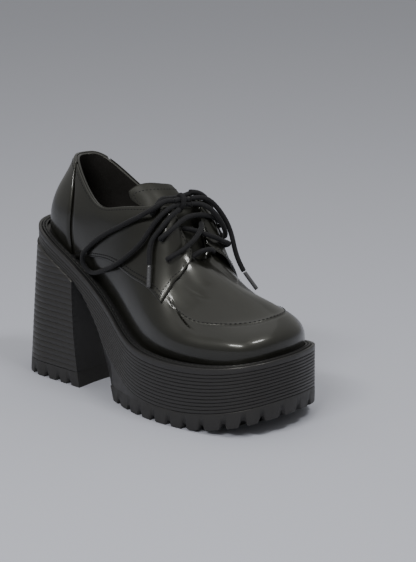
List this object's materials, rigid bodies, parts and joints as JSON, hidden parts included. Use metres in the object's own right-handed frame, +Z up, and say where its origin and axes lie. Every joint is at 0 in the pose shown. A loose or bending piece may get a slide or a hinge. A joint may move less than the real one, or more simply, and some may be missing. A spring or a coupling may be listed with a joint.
{
  "type": "heeled oxford shoe",
  "caption": "Right lace-up shoe with a hollow lasted leather upper, moccasin apron, ribbed platform sole, tall flared block heel and lugged tread.",
  "frame": {"origin": "centre of the heel tread's flat rest face on the floor", "axes": "+X towards the toe, +Y to the wearer's left, the inner side of this right shoe, +Z up"},
  "size_m": [0.2608, 0.1068, 0.1767],
  "materials": {
    "upper_leather": "high shine black leather",
    "lining": "matt dark lining leather",
    "sole_rubber": "satin black moulded rubber",
    "tread_rubber": "matt black rubber",
    "welt": "satin black welt strip",
    "lace": "matt black round woven lace",
    "aglet": "dark film wrapped tip"
  },
  "bodies": {
    "root": {"platform": "sole_rubber", "heel_block": "sole_rubber", "forepart_tread": "tread_rubber", "heel_tread": "tread_rubber", "welt": "welt", "insole": "lining", "upper": "upper_leather", "counter": "upper_leather", "quarter_lateral": "upper_leather", "quarter_medial": "upper_leather", "tongue": "upper_leather", "lace_bar_1": "lace", "lace_bar_2": "lace", "lace_bar_3": "lace", "bow_knot": "lace", "bow_loop_lateral": "lace", "bow_loop_medial": "lace", "lace_end_lateral": "lace", "lace_end_medial": "lace", "aglet_lateral": "aglet", "aglet_medial": "aglet"}
  },
  "joints": []
}
